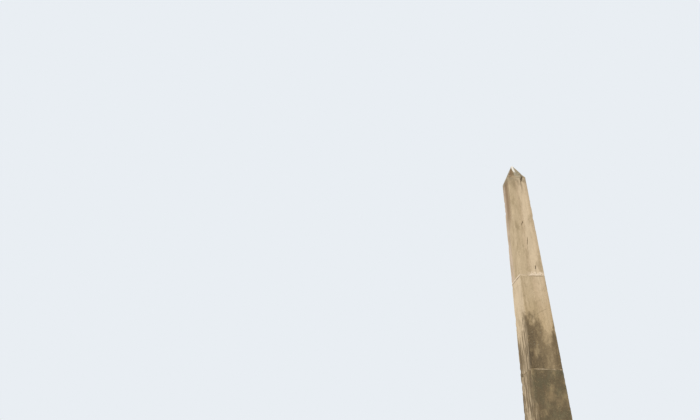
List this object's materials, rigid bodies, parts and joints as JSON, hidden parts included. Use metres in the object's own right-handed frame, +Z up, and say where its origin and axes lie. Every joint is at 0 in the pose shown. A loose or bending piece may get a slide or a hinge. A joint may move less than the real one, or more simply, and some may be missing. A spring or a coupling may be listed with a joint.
{
  "type": "stone obelisk",
  "caption": "Tapering square stone obelisk with a steep pyramidion, standing on a moulded pedestal with a cornice and steps.",
  "frame": {"origin": "on the ground, at the middle of the lower step, straight under the apex", "axes": "+Z up along the shaft; the front face looks along -Y and +X is to its right"},
  "size_m": [2.68, 2.68, 11.104],
  "materials": {
    "shaft_stone": "weathered warm limestone, streaked by rain",
    "pyramidion_stone": "limestone darkened by lichen",
    "pedestal_stone": "weathered limestone with algae stains",
    "step_stone": "worn limestone",
    "mortar": "pale lime mortar",
    "rubble": "rubble set in lime mortar"
  },
  "bodies": {
    "root": {"shaft_base": "shaft_stone", "lower_shaft_stone": "shaft_stone", "middle_shaft_stone": "shaft_stone", "upper_shaft_stone": "shaft_stone", "pyramidion": "pyramidion_stone", "plinth_front": "pedestal_stone", "plinth_back": "pedestal_stone", "base_moulding": "pedestal_stone", "lower_die_left": "pedestal_stone", "lower_die_right": "pedestal_stone", "upper_die_front": "pedestal_stone", "upper_die_back": "pedestal_stone", "cornice": "pedestal_stone", "lower_step_front": "step_stone", "lower_step_right": "step_stone", "lower_step_back": "step_stone", "lower_step_left": "step_stone", "upper_step_front": "step_stone", "upper_step_right": "step_stone", "upper_step_back": "step_stone", "upper_step_left": "step_stone", "lower_step_joints": "mortar", "upper_step_joints": "mortar", "bed_under_plinth": "mortar", "plinth_joint": "mortar", "bed_under_base_moulding": "mortar", "bed_under_die": "mortar", "lower_die_joint": "mortar", "bed_inside_die": "mortar", "upper_die_joint": "mortar", "bed_under_cornice": "mortar", "bed_under_shaft_base": "mortar", "bed_under_shaft": "mortar", "lower_shaft_joint": "mortar", "upper_shaft_joint": "mortar", "upper_joint_repair": "mortar", "pyramidion_joint": "mortar", "core": "rubble"}
  },
  "joints": []
}
